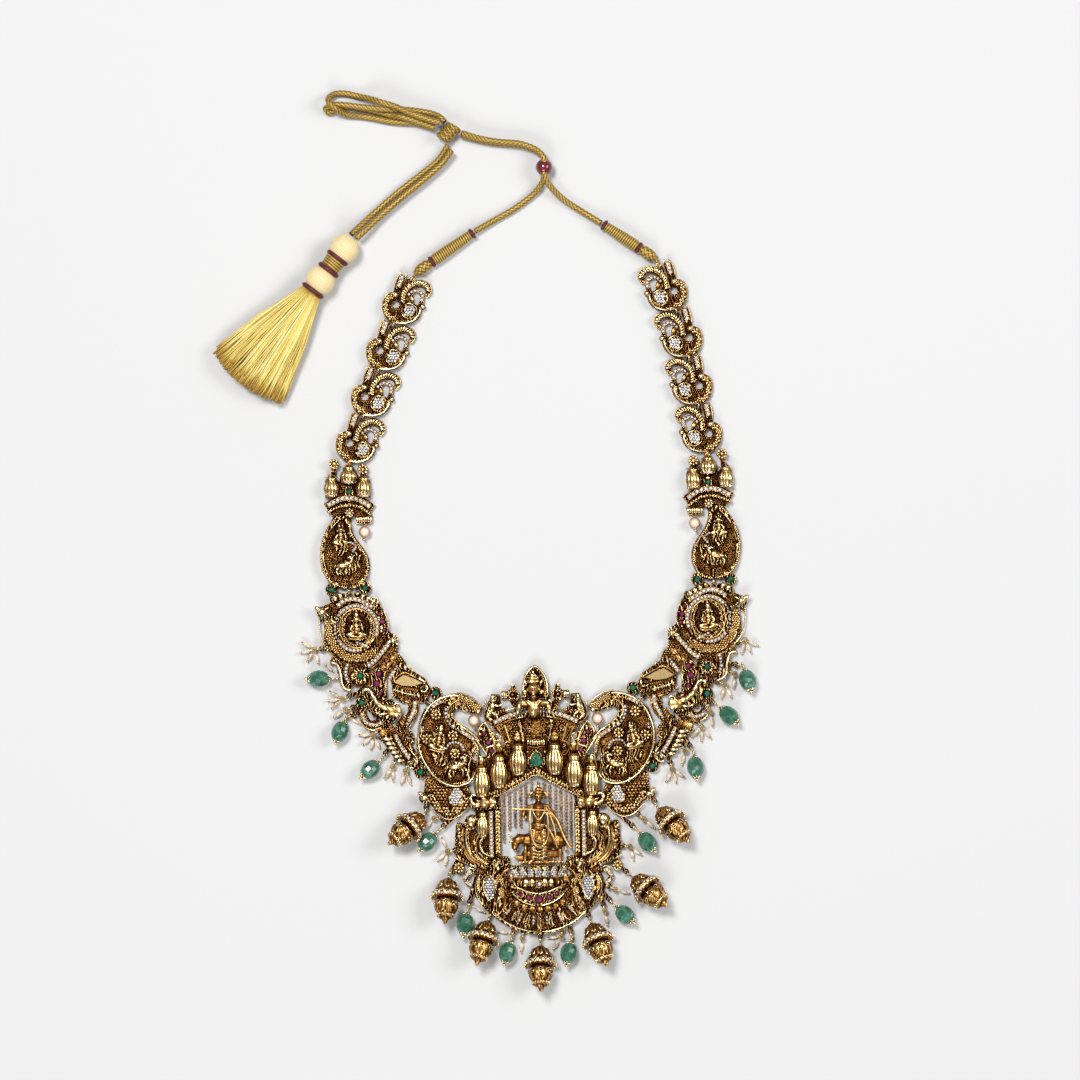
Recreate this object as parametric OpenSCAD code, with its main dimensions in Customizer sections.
// Temple jewellery necklace, laid flat. X right, Y towards the cord, Z up, back of the plates at z = 0.

/* [Plates] */
// Thickness of the cast base plates
plate_t = 1.5; // [1.3:0.1:2]
// Height of the raised relief above the base plates
relief_t = 1.1; // [0.7:0.1:1.6]
// Width of the raised rims and scrolls
rim_w = 0.8; // [0.6:0.1:1.1]
// Height of domes, heads and blossoms above the relief
dome_h = 0.9; // [0.5:0.1:1.4]

/* [Rings] */
// Mean radius of the jump rings
ring_r = 1.25; // [1.15:0.05:1.5]
// Wire diameter of the jump rings
ring_wire = 0.5; // [0.35:0.05:0.6]
// Thickness of the flat eyes that the rings pass through
eye_t = 0.9; // [0.6:0.1:1]
// Radius of the hole in an eye
eye_hole = 0.5; // [0.4:0.05:0.55]
// Width of metal around the hole of an eye
eye_rim = 0.45; // [0.35:0.05:0.5]

/* [Plaques] */
// Height of one peacock link
peacock_h = 17.4; // [16:0.1:19]
// Height of the tower with its small mango
tower_h = 45; // [42:0.5:48]
// Height of the shoulder plaque
shoulder_h = 60; // [57:0.5:63]
// Height of the big mango with its scaled bird
mango_h = 41.5; // [40:0.5:43]
// Height of the pendant frame
pendant_h = 90; // [88:0.5:92]
// Radius of the lying pots on the pendant
pot_r = 2.3; // [2:0.1:2.4]

/* [Lantern drops] */
// Radius of the lantern's rim
lantern_rim_r = 5.5; // [4.8:0.1:6]
// Length from the jump ring's centre to the rim
lantern_rim_at = 8.6; // [7.8:0.1:9.4]
// Radius of the ball below the rim
lantern_ball_r = 4.1; // [3.4:0.1:4.6]

/* [Beads and stones] */
// Half length of a green bead
bead_a = 3.7; // [3:0.1:4.2]
// Half width of a green bead
bead_b = 2.85; // [2.4:0.05:3]
// Diameter of the headpins of the green beads
pin_d = 0.6; // [0.4:0.05:0.8]
// Length of a rice pearl
rice_l = 2.9; // [2.4:0.1:3.3]
// Diameter of a rice pearl
rice_d = 1.3; // [1.1:0.05:1.5]
// Diameter of the headpins of the rice pearls
rice_pin_d = 0.4; // [0.3:0.05:0.5]
// Radius of the round pearls at the beaks
pearl_r = 1.95; // [1.6:0.05:2.1]
// Clearance around a set stone and around a pin in its bead
fit = 0.12; // [0.1:0.01:0.15]
// Height of the cut stones
stone_h = 1.3; // [0.9:0.1:1.6]
// Diameter of the seed bead strings
string_d = 0.9; // [0.6:0.05:1.1]

/* [Cord] */
// Diameter of the gold thread cord
cord_d = 2.1; // [1.8:0.1:2.4]
// Radius of the slider bead
slider_r = 2.8; // [2.6:0.1:3]
// Radius of the tassel's thread balls
tassel_ball_r = 4.9; // [4.5:0.1:5.2]
// Length of the tassel's skirt
skirt_l = 39; // [36:0.5:42]
// Width of the skirt at its cut end
skirt_w = 33; // [30:0.5:36]
// Thickness of the skirt at its cut end
skirt_t = 7; // [6:0.5:8]

/* [Hidden] */

gold = "goldenrod";
relief_top = plate_t + relief_t;
bite = 0.3; // how far a raised form is sunk into what carries it
floor_gap = 0.1;
eye_r = eye_hole + eye_rim;
eye_z = ring_r + ring_wire / 2 + floor_gap;
ring_room = ring_r + ring_wire / 2 + 0.35;
eye_stem = 3.2; // length of the bar that carries an eye between two plaques
drop_stem = 4.6; // the same where a drop hangs

function dir(a) = [cos(a), sin(a)];
function mix(a, b, t) = a + (b - a) * t;

// A smooth curve through a short list of points, steps pieces between neighbours
function curve(p, steps = 2) = [
    for (i = [0 : len(p) - 2]) let (
        a = p[max(i - 1, 0)], b = p[i], c = p[i + 1], d = p[min(i + 2, len(p) - 1)])
        for (k = [0 : steps - 1]) let (t = k / steps)
            0.5 * (2 * b + (c - a) * t + (2 * a - 5 * b + 4 * c - d) * t * t
                + (3 * b - a - 3 * c + d) * t * t * t),
    p[len(p) - 1]];
// The same for a closed outline
function ring_curve(p, steps = 3) = let (n = len(p)) [
    for (i = [0 : n - 1]) let (
        a = p[(i + n - 1) % n], b = p[i], c = p[(i + 1) % n], d = p[(i + 2) % n])
        for (k = [0 : steps - 1]) let (t = k / steps)
            0.5 * (2 * b + (c - a) * t + (2 * a - 5 * b + 4 * c - d) * t * t
                + (3 * b - a - 3 * c + d) * t * t * t)];
function heading(p, i) = let (d = p[min(i + 1, len(p) - 1)] - p[max(i - 1, 0)]) d / norm(d);
function turned(v) = [-v[1], v[0]];

// A ribbon along a path, w0 wide where it starts and w1 where it ends
module ribbon(p, w0, w1) {
    c = curve(p);
    n = len(c) - 1;
    polygon(concat(
        [for (i = [0 : n]) c[i] + turned(heading(c, i)) * mix(w0, w1, i / n) / 2],
        [for (i = [n : -1 : 0]) c[i] - turned(heading(c, i)) * mix(w0, w1, i / n) / 2]));
}
module oval(p, rx, ry, a = 0) translate(p) rotate(a) scale([rx, ry]) circle(1, $fn = 16);
module bezel(p, r) translate(p) difference() {
    circle(r + fit + rim_w * 0.75, $fn = 16);
    circle(r + fit, $fn = 16);
}
module blossom(p, r) translate(p) {
    circle(r * 0.45, $fn = 8);
    for (a = [0 : 60 : 300]) rotate(a) translate([r * 0.62, 0]) circle(r * 0.36, $fn = 8);
}
// Many flat shapes cut or joined in one go and raised from z0 to z1
module slab(z0, z1) translate([0, 0, z0]) linear_extrude(z1 - z0) offset(delta = 0.02) children();

// Frames: [x, y, angle, side]; side 1 is drawn as the left piece, -1 mirrored as the right one
function out(f, p) = [
    f[0] + cos(f[2]) * f[3] * p[0] - sin(f[2]) * p[1],
    f[1] + sin(f[2]) * f[3] * p[0] + cos(f[2]) * p[1]];
module in_frame(f) translate([f[0], f[1], 0]) rotate(f[2]) mirror([f[3] < 0 ? 1 : 0, 0, 0]) children();
// The frame of a piece whose eye q hangs on the eye p of a frame through a ring that points along d
function hung(f, p, d, q, a) = let (
    e = out(f, p) + 2 * ring_r * dir(d), g = [0, 0, a, f[3]], back = out(g, q))
    [e[0] - back[0], e[1] - back[1], a, f[3]];

// Share of the drawn size that each plaque has
peacock_k = peacock_h / 17.4;
tower_k = tower_h / 45;
shoulder_k = shoulder_h / 60;
mango_k = mango_h / 41.5;
pendant_k = pendant_h / 90;

peacock_top = [1.3, 5.3] * peacock_k;
peacock_foot = [-3.6, -7.6] * peacock_k;
tower_top = [0.9, 21.1] * tower_k;
tower_foot = [1, -19.1] * tower_k;
shoulder_top = [-2.6, 11.1] * shoulder_k;
shoulder_foot = [23, -24.2] * shoulder_k;
mango_top = [-5.6, 11.9] * mango_k;

pendant_at = [2.5, -67.7, 1, 1];
mango_seat = [28.85, 29.45] * pendant_k;
function mango_frame(s) = let (o = out(pendant_at, [-s * mango_seat[0], mango_seat[1]]))
    [o[0], o[1], 1 - s * 0.5, s];
// Per side: shoulder ring and angle, tower ring and angle, then the four links from below, then the cord
LEFT_TURNS = [[148, 0], [90, 0], [94, 0], [86, 0], [88, 0], [80, 0], [52, 0]];
RIGHT_TURNS = [[53, 3.2], [96, 2.9], [86, -8], [91, -7], [85, -4], [107, 0], [118, 0]];
function turns(s) = s > 0 ? LEFT_TURNS : RIGHT_TURNS;
function shoulder_frame(s) = let (t = turns(s)[0])
    hung(mango_frame(s), mango_top, t[0], shoulder_foot, t[1]);
function tower_frame(s) = let (t = turns(s)[1])
    hung(shoulder_frame(s), shoulder_top, t[0], tower_foot, t[1]);
// Link 4 is the lowest, link 1 the highest
function link_frame(s, i) = let (t = turns(s)[6 - i])
    i == 4 ? hung(tower_frame(s), tower_top, t[0], peacock_foot, t[1])
    : hung(link_frame(s, i + 1), peacock_top, t[0], peacock_foot, t[1]);
function side_name(s) = s > 0 ? "left" : "right";
function named(base, s) = str(base, "_", side_name(s));
function link_name(s, i) = str("peacock_link_", side_name(s), "_", i);

// Rings between plaques: [centre, direction, owner behind, owner in front, stem of the eyes]
function joint(f, p, d, a, b) = [out(f, p) + ring_r * dir(d), d, a, b, eye_stem];
PLAQUE_RINGS = [for (s = [1, -1]) each [
    joint(mango_frame(s), mango_top, turns(s)[0][0], named("big_mango", s), named("shoulder_plaque", s)),
    joint(shoulder_frame(s), shoulder_top, turns(s)[1][0],
        named("shoulder_plaque", s), named("tower_mango", s)),
    joint(tower_frame(s), tower_top, turns(s)[2][0], named("tower_mango", s), link_name(s, 4)),
    for (i = [4 : -1 : 2])
        joint(link_frame(s, i), peacock_top, turns(s)[7 - i][0], link_name(s, i), link_name(s, i - 1)),
    joint(link_frame(s, 1), peacock_top, turns(s)[6][0], link_name(s, 1), named("wrap", s))]];

// Lantern drops: [ring centre, direction of the ring, owner, direction of the drop]
LANTERNS = [
    [[-34.8, -62.2], 258, "big_mango_left", 219], [[-26.6, -83], 240, "pendant_frame", 266],
    [[-13.4, -97.2], 250, "pendant_frame", 255], [[3.4, -105.3], 270, "pendant_frame", 271],
    [[19.8, -98], 290, "pendant_frame", 291], [[32.9, -83.2], 318, "pendant_frame", 321],
    [[41.9, -60], 295, "big_mango_right", 313]];
// Green beads: [bead centre, direction of the ring, owner, direction of the bead]
GREENS = [
    [[-70.3, -18.2], 180, "shoulder_plaque_left", 180], [[-63.2, -35.8], 205, "shoulder_plaque_left", 248],
    [[-53.2, -48.4], 235, "shoulder_plaque_left", 223], [[-34.1, -72.5], 222, "big_mango_left", 226],
    [[-21.6, -99.8], 255, "pendant_frame", 260], [[-7.5, -109.3], 250, "pendant_frame", 255],
    [[12.9, -109.5], 280, "pendant_frame", 259], [[31.6, -96.7], 310, "pendant_frame", 319],
    [[39, -72.5], 320, "big_mango_right", 309], [[55.1, -47.6], 300, "shoulder_plaque_right", 278],
    [[66.2, -30.4], 325, "shoulder_plaque_right", 318], [[72.4, -18.6], 350, "shoulder_plaque_right", 288]];
// Sprays of rice pearls: [hub, direction of the ring, owner, directions of the pearls]
SPRAYS = [
    [[-71.8, -8.4], 184, "shoulder_plaque_left", [150, 195, 240, 285]],
    [[-62.6, -24.9], 200, "shoulder_plaque_left", [148, 188, 224]],
    [[-61.4, -28.4], 195, "shoulder_plaque_left", [215]],
    [[-52.2, -37], 225, "shoulder_plaque_left", [180, 220, 260, 296]],
    [[-45.7, -47.5], 243, "shoulder_plaque_left", [235, 270]],
    [[-41.4, -48.9], 255, "shoulder_plaque_left", [250, 290]],
    [[-31.9, -64.8], 190, "big_mango_left", [225]],
    [[-27.4, -75.6], 185, "pendant_frame", [115, 222, 259]],
    [[-2.6, -104.6], 260, "pendant_frame", [265]],
    [[10.4, -104.3], 262, "pendant_frame", [235]],
    [[24.9, -95.6], 285, "pendant_frame", [280]],
    [[28.4, -88.4], 330, "pendant_frame", [345]],
    [[33.2, -74.1], 350, "pendant_frame", [325, 285]],
    [[37.9, -64.9], 320, "big_mango_right", [320]],
    [[47.4, -48.2], 290, "shoulder_plaque_right", [245, 285, 325]],
    [[51.7, -42.2], 300, "shoulder_plaque_right", [255]],
    [[57.2, -34.2], 310, "shoulder_plaque_right", [225, 268, 308]],
    [[60, -29.3], 315, "shoulder_plaque_right", [280]],
    [[64.8, -20.1], 340, "shoulder_plaque_right", [298, 256]],
    [[68.2, -16.6], 330, "shoulder_plaque_right", [265]],
    [[71.6, -5.2], 20, "shoulder_plaque_right", [335, 295, 255]]];

function tilt_for(reach, r) = atan2(r, reach)
    + asin((floor_gap - eye_z) / norm([reach, r]));
lantern_tilt = tilt_for(lantern_rim_at + 0.4, lantern_rim_r);
bead_at = ring_r + eye_r + 0.5 + bead_a;
bead_tilt = asin((bead_b + floor_gap - eye_z) / bead_at);
function bead_ring(b) = b[0] - cos(bead_tilt) * ((bead_at - ring_r) * dir(b[3]) + ring_r * dir(b[1]));
RINGS = concat(PLAQUE_RINGS,
    [for (d = LANTERNS) [d[0], d[1], d[2], "", drop_stem]],
    [for (b = GREENS) [bead_ring(b), b[1], b[2], "", drop_stem]],
    [for (h = SPRAYS) [h[0] - ring_r * dir(h[1]), h[1], h[2], "", drop_stem]]);

module ring_rooms() for (r = RINGS) translate(r[0]) circle(ring_room, $fn = 14);
module flat_eye(away, stem) difference() {
    union() {
        circle(eye_r, $fn = 14);
        translate([away > 0 ? 0 : -stem, -eye_r * 0.7]) square([stem, eye_r * 1.4]);
    }
    circle(eye_hole, $fn = 14);
}
// The eyes of one plaque, one for each ring that it holds
module eyes(name) for (r = RINGS) translate(r[0]) rotate(r[1]) {
    if (r[2] == name) translate([-ring_r, 0]) flat_eye(-1, r[4]);
    if (r[3] == name) translate([ring_r, 0]) flat_eye(1, r[4]);
}
// A plaque: flat base, raised relief and eyes; children 0 is the base, 1 the relief, the rest stand on top
module plaque(name, f) color(gold) union() {
    slab(0, plate_t) difference() {
        in_frame(f) children(0);
        ring_rooms();
        neighbour_rooms(name);
    }
    slab(plate_t - bite, relief_top) difference() {
        in_frame(f) children(1);
        ring_rooms();
        neighbour_rooms(name);
    }
    slab(eye_z - eye_t / 2, eye_z + eye_t / 2) difference() {
        eyes(name);
        if ($children > 3) in_frame(f) children(3);
    }
    in_frame(f) children(2);
}
// The outlines next to a plaque, a little larger, so that two plaques never meet
plaque_gap = 0.3;
module neighbour_rooms(name) for (s = [1, -1]) {
    if (name == "pendant_frame" || name == named("shoulder_plaque", s))
        offset(delta = plaque_gap) in_frame(mango_frame(s)) mango_base();
    if (name == named("tower_mango", s))
        offset(delta = plaque_gap) in_frame(shoulder_frame(s)) shoulder_base();
}
module dome(p, r, h = dome_h) translate([p[0], p[1], plate_t - bite]) rotate_extrude($fn = 24) {
    foot = relief_t + bite;
    polygon([[0, 0], [r, 0], [r, foot - 0.1], [r * 0.92, foot + h * 0.4], [r * 0.68, foot + h * 0.8],
        [0, foot + h]]);
}
// A turned vessel lying on the plate, its mouth towards +Y
module lying_pot(p, r, l) translate([p[0], p[1], max(r, plate_t + r * 0.45) + floor_gap])
    rotate([-90, 0, 0]) rotate_extrude($fn = 24)
    polygon([[0, -l / 2], [r * 0.7, -l / 2], [r, -l * 0.12], [r * 0.8, l * 0.2], [r * 0.4, l * 0.3],
        [r * 0.7, l * 0.38], [0, l / 2]]);

// Peacock link
module peacock_base() scale(peacock_k) {
    ribbon([[-0.9, 7.6], [-1.6, 5.4], [-2.3, 3], [-3, 1]], 2.2, 2.6);
    difference() {
        polygon(ring_curve([[-4.2, 1.7], [-6.6, 0.2], [-7.4, -2.8], [-6.6, -6], [-4, -8.4], [-0.5, -8.6],
            [2.6, -8.2], [5, -6.2], [5.4, -3.6], [3.6, -2.2], [1, -1.6], [-1.4, -0.6], [-2.6, 1.2]]));
        oval([-3.2, -2.2], 1.3, 1.2, 30);
    }
    ribbon([[-1, -2], [-0.3, 1.6], [2, 4.2], [4.9, 5], [7.3, 3.8], [7.9, 2], [6.9, 0.7]], 2, 1.6);
    ribbon([[0.6, 0.6], [2.6, 2.4], [4.3, 2.2], [5.7, 1], [5.5, -1.2], [4.6, -3]], 1.2, 1.3);
    ribbon([[0.3, -2.4], [0.2, -0.6], [0.9, 1]], 1.6, 1);
    ribbon([[2, -2.2], [2.2, -0.4], [1.9, 1.4]], 1.4, 1);
    oval([5.8, -3], 0.9, 0.9);
}
module peacock_relief() scale(peacock_k) {
    ribbon([[-1.2, -1.4], [-0.3, 1.6], [2, 4.2], [4.9, 5], [7.3, 3.8], [7.9, 2]], 1.6, 1.2);
    ribbon([[-1, 7.5], [-1.7, 5.4], [-2.4, 3]], 1.5, 1.3);
    ribbon([[-2.8, 0.8], [-5.4, 0.2], [-6.5, -2.8], [-5.7, -5.7], [-3.6, -7.4]], 1.5, 1.5);
    ribbon([[-3, -8.1], [0, -8.2], [3, -7.2], [4.6, -5], [4.8, -3.4]], 1, 1);
    oval([1.4, -4.5], 2.5, 2.9, -20);
    oval([5.8, -3], 0.7, 0.7);
}
module peacock_link(s, i) plaque(link_name(s, i), link_frame(s, i)) {
    peacock_base();
    peacock_relief();
    scale([peacock_k, peacock_k, 1]) {
        dome([1.4, -4.5], 2);
        dome([-3.2, 0.8], 1);
    }
}

// Tower with the small mango below it
TOWER_FLOWERS = [[-4, 22], [5.6, 20.2]];
TOWER_GREENS = [[1.1, 12.9, 0.95], [-4.8, -19.9, 1.1], [6.3, -19.3, 1.1]];
module tower_base() scale(tower_k) {
    polygon([[-6.9, 11.2], [-6.9, 16.5], [-4.9, 17.8], [-2.9, 16.5], [-2.2, 16], [-1.8, 19], [0.9, 21.4],
        [3.6, 19], [4, 16], [4.6, 16.5], [6, 17.8], [8, 16.5], [8, 11.2]]);
    ribbon([[-6, 6.6], [-2.6, 8.6], [1.1, 9.4], [4.8, 8.6], [8.2, 6.2]], 5, 5);
    for (p = TOWER_FLOWERS) {
        ribbon([p, [p[0] - 0.3, 17]], 1.4, 1.4);
        blossom(p, 1.8);
        oval(p, 1.1, 1.1);
    }
    polygon(ring_curve([[-2.8, 5.6], [-5.6, 1.6], [-7.6, -2.2], [-8.7, -8.3], [-7.6, -14.2], [-4.4, -18.4],
        [1, -19.8], [5.4, -18.2], [7.8, -13.4], [7.2, -8.6], [4.8, -4.8], [2.3, -1.2], [1.4, 3], [2.4, 5.4]]));
    ribbon([[1, 5.6], [4.4, 5.2], [6.4, 3.2]], 2, 2.6);
    polygon([[3.4, 3.8], [8.8, 4.6], [8, 2.4], [6.2, 1.9], [4, 2.4]]);
    for (g = TOWER_GREENS) oval([g[0], g[1]], g[2] + 0.9, g[2] + 0.9);
    polygon([[-5, -20], [-4, -17], [5.5, -17], [6.4, -19.6], [4, -19], [-3, -19.2]]);
}
module tower_relief() scale(tower_k) {
    ribbon([[-6, 8.1], [-2.6, 10], [1.1, 10.7], [4.8, 9.9], [8, 7.7]], 1.7, 1.7);
    ribbon([[-6.2, 5.9], [-2.6, 7.7], [1.1, 8.3], [4.8, 7.5], [8.2, 5.3]], 1, 1);
    blossom([1.2, 5.7], 1.5);
    for (p = TOWER_FLOWERS) blossom(p, 1.7);
    difference() {
        polygon(ring_curve([[-2.8, 4.6], [-7.4, -2.2], [-8.5, -8.3], [-7.4, -14.2], [-4.4, -18.2], [1, -19.6],
            [5.4, -18], [7.6, -13.4], [7, -8.6], [4.7, -5], [2.1, -1.4], [1.2, 3]]));
        polygon(ring_curve([[-2.2, 3.4], [-6.4, -2.4], [-7.5, -8.3], [-6.4, -13.8], [-3.9, -17.2],
            [1, -18.6], [4.8, -17], [6.6, -13.2], [6, -9], [3.9, -5.6], [1, -1.6], [0.2, 2.6]]));
    }
    oval([-1.6, -4.6], 2.4, 4);
    oval([0.6, -12.4], 4.2, 2.4, 15);
    ribbon([[3.6, -10.6], [4.6, -8.4], [3, -8]], 1.4, 1.2);
    polygon([[3.6, 3.6], [8.6, 4.4], [7.8, 2.6], [6.2, 2.1], [4.2, 2.6]]);
    for (g = TOWER_GREENS) bezel([g[0], g[1]], g[2]);
}
module tower_mango(s) plaque(named("tower_mango", s), tower_frame(s)) {
    tower_base();
    tower_relief();
    scale([tower_k, tower_k, 1]) {
        lying_pot([0.9, 18.4], 2.3, 5.4);
        lying_pot([-4.9, 14.4], 2, 6.6);
        lying_pot([5.9, 14.4], 2, 6.6);
        dome([-1.7, 1.3], 1.2, dome_h * 1.3);
        dome([-1.6, -4.4], 1.8);
        dome([0.4, -12.4], 2.1, dome_h * 1.2);
    }
}

// Shoulder plaque: seated figure in an oval, two birds, ruby leaf and makara
SHOULDER_GREENS = [[1.1, -15.9, 1.1], [26.2, -21.5, 1.1], [1.6, -24.8, 1.1], [21.2, -47.9, 1.15]];
SHOULDER_RUBIES = [[7.5, 4.7, 0.75], [8.5, 2.1, 0.95], [9.1, -0.6, 0.75],
    [7.4, -15.3, 1], [6.7, -18.5, 1.15], [7.8, -21.7, 0.75]];
module shoulder_base() scale(shoulder_k) {
    polygon(ring_curve([[-8.6, 9], [-5, 11.5], [0, 11.7], [5, 10.2], [8, 7.4], [10, 3], [10.6, -1], [13, -2.4],
        [13.6, -5.2], [13.6, -8], [16, -11], [16, -14], [12, -18], [10.4, -14], [9.4, -13], [4.4, -12.8],
        [4.8, -17], [1.6, -19.2], [-3.4, -18.6], [-6, -16], [-5.4, -12.5], [-7.8, -9.6], [-10.6, -6],
        [-10.8, 0], [-9.4, 5]]));
    ribbon([[-7.5, 7.6], [-10, 7], [-11.6, 5.2], [-11.6, 2]], 2, 1.2);
    oval([-11.5, 5.3], 1.8, 1.9);
    ribbon([[-8.4, -11.4], [-6.6, -10], [-5.4, -12.4], [-5.4, -16], [-2, -20]], 1.6, 2.4);
    polygon(ring_curve([[7.4, -12.6], [9.6, -14.6], [9.6, -18.5], [10, -24], [7.4, -23.6], [5, -18.8],
        [5.2, -14.4]]));
    polygon([[14.4, -11.4], [17, -13.2], [22.5, -16.6], [24.2, -19.4], [23.6, -24.6], [18, -24.8],
        [15, -24.8], [12, -22.5], [11.4, -17.2], [9, -15]]);
    ribbon([[22, -20.4], [26.2, -21.5]], 2, 2.4);
    ribbon([[0.4, -22.6], [2.2, -20.6], [3.8, -21.6], [4.9, -25], [8, -27], [12, -27]], 1.8, 7);
    ribbon([[1.4, -25], [1.6, -28.2], [3.4, -31.8], [6, -32.6], [9.4, -30.4], [12, -28]], 2, 5);
    ribbon([[18.6, -24.2], [18.8, -27.6], [17, -31], [13.4, -33]], 3.6, 3.2);
    ribbon([[5.1, -28.6], [9, -28.6]], 1.2, 1.2);
    ribbon([[9, -34], [12, -37.2], [14.2, -41], [17.4, -44]], 6.4, 5.2);
    ribbon([[13.6, -32.4], [15.6, -36.6], [18.4, -40.6], [20.2, -43.6], [19.6, -46]], 1.6, 1.6);
    ribbon([[15.6, -34.4], [17.6, -35], [18.2, -37.4], [16.4, -38.4]], 1.8, 1.8);
    ribbon([[18.4, -45], [21.2, -47.9]], 2.6, 2.4);
    for (g = SHOULDER_GREENS) oval([g[0], g[1]], g[2] + 0.9, g[2] + 0.9);
    polygon([[0, -21], [4, -19.5], [8, -22.5], [6, -25], [3, -23.4]]);
}
module shoulder_relief() scale(shoulder_k) {
    for (i = [0 : 6]) oval([-8, 9.6] + [2.4 * i, i < 3 ? 0.8 * i : 2.8 - 0.6 * i], 1, 1);
    ribbon([[-6, 7.4], [-3.3, 9.4], [0, 9.7], [3, 8.3], [6.4, 6.6]], 1.5, 1.5);
    difference() {
        oval([0, 0], 7.2, 8);
        oval([0.2, 0.2], 4.4, 5.7);
    }
    ribbon([[-8.4, 4], [-9.2, -1], [-7.6, -6], [-3, -9.6], [2.6, -9.6], [7, -6.6]], 2.6, 2.6);
    ribbon([[11, -4.6], [7.8, -8.6], [4.9, -11.4], [2.6, -12.4]], 1.6, 1.4);
    ribbon([[15, -11.6], [13.6, -14.4], [11, -16.4]], 1.8, 1.6);
    ribbon([[12, -3], [10.4, -2.4]], 2, 1.4);
    oval([-11.5, 5.3], 1.5, 1.6);
    oval([12.1, -4], 1.4, 1.8);
    oval([0.2, -2.6], 3.4, 1.6);
    oval([0, 0.4], 1.7, 3);
    blossom([1.1, -15.9], 3);
    ribbon([[-8.2, -11.4], [-6.6, -10.2], [-5.6, -12.4], [-5.6, -16], [-2.4, -19.6]], 1, 1.4);
    ribbon([[7.4, -13.2], [9.2, -15.6], [9.2, -19], [9.6, -23.4]], 0.7, 0.7);
    ribbon([[7.4, -13.2], [5.2, -15.6], [5.2, -19], [9, -23.8]], 0.7, 0.7);
    ribbon([[15.6, -12.6], [19, -15.4], [23, -18], [23, -21], [21, -20.6]], 0.9, 0.9);
    ribbon([[12, -17.4], [16, -18.6], [20.6, -19.4]], 0.8, 0.8);
    ribbon([[12.2, -20], [16, -21.4], [21.4, -22.4]], 1.6, 1.6);
    ribbon([[1.2, -22.4], [2.4, -20.9], [3.8, -21.8], [4.9, -25.2], [8, -27], [12.4, -27.6]], 1.2, 6);
    ribbon([[1.6, -27.4], [3.4, -31.2], [6, -32.4], [9, -30.8]], 1.2, 1.6);
    ribbon([[19.7, -24.2], [19.6, -27.4], [17, -31.4]], 1.3, 1.3);
    ribbon([[13.8, -33], [15.6, -36.6], [18.4, -40.6], [20.2, -43.6], [19, -46], [17.4, -45]], 0.9, 0.9);
    ribbon([[13, -35.4], [14.6, -39.1], [17.6, -42.6]], 1.3, 1.3);
    for (i = [0 : 4]) oval([10.6, -36.4] + i * [1, -1.9], 1.4, 0.75, -25);
    for (g = concat(SHOULDER_GREENS, SHOULDER_RUBIES)) bezel([g[0], g[1]], g[2]);
}
module shoulder_cut() scale(shoulder_k) {
    for (g = concat(SHOULDER_GREENS, SHOULDER_RUBIES)) oval([g[0], g[1]], g[2] + fit, g[2] + fit);
}
module shoulder_plaque(s) plaque(named("shoulder_plaque", s), shoulder_frame(s)) {
    shoulder_base();
    difference() {
        shoulder_relief();
        shoulder_cut();
    }
    scale([shoulder_k, shoulder_k, 1]) {
        dome([-0.2, 3.2], 1.2, dome_h * 1.2);
        dome([0.1, 0], 1.4);
        dome([-11.5, 5.3], 1.3);
        dome([12.1, -4], 1.2);
        dome([12.2, -27.4], 2.4, dome_h * 1.2);
    }
    shoulder_cut();
}

// Big mango with the scaled bird below it
module mango_base() scale(mango_k) {
    polygon(ring_curve([[-7.2, 11.7], [-3, 14.3], [1.4, 15.5], [4.8, 15.1], [8.4, 12.8], [10.9, 10.9],
        [9.6, 9.1], [6.6, 9.3], [2.8, 10.4], [1.3, 8.6], [2.2, 6.3], [5.6, 4.1], [8.6, 1.9], [9.4, -1.4],
        [7.7, -4.6], [7.5, -8.4], [7.3, -12], [5, -14.6], [3.3, -15.4], [-0.5, -15.6], [-4.9, -12.9],
        [-8.8, -8.7], [-10.7, -3.9], [-10.8, 0.9], [-9.7, 7.2]]));
    polygon(ring_curve([[-7.6, -11.4], [-3, -14.4], [3, -14.6], [5.8, -15], [6.9, -18.6], [6, -22],
        [3.6, -24.8], [-0.8, -26], [-4.3, -24.2], [-6.5, -21.1], [-9.6, -20.4], [-10.2, -18.6], [-8.6, -17]]));
}
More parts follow.
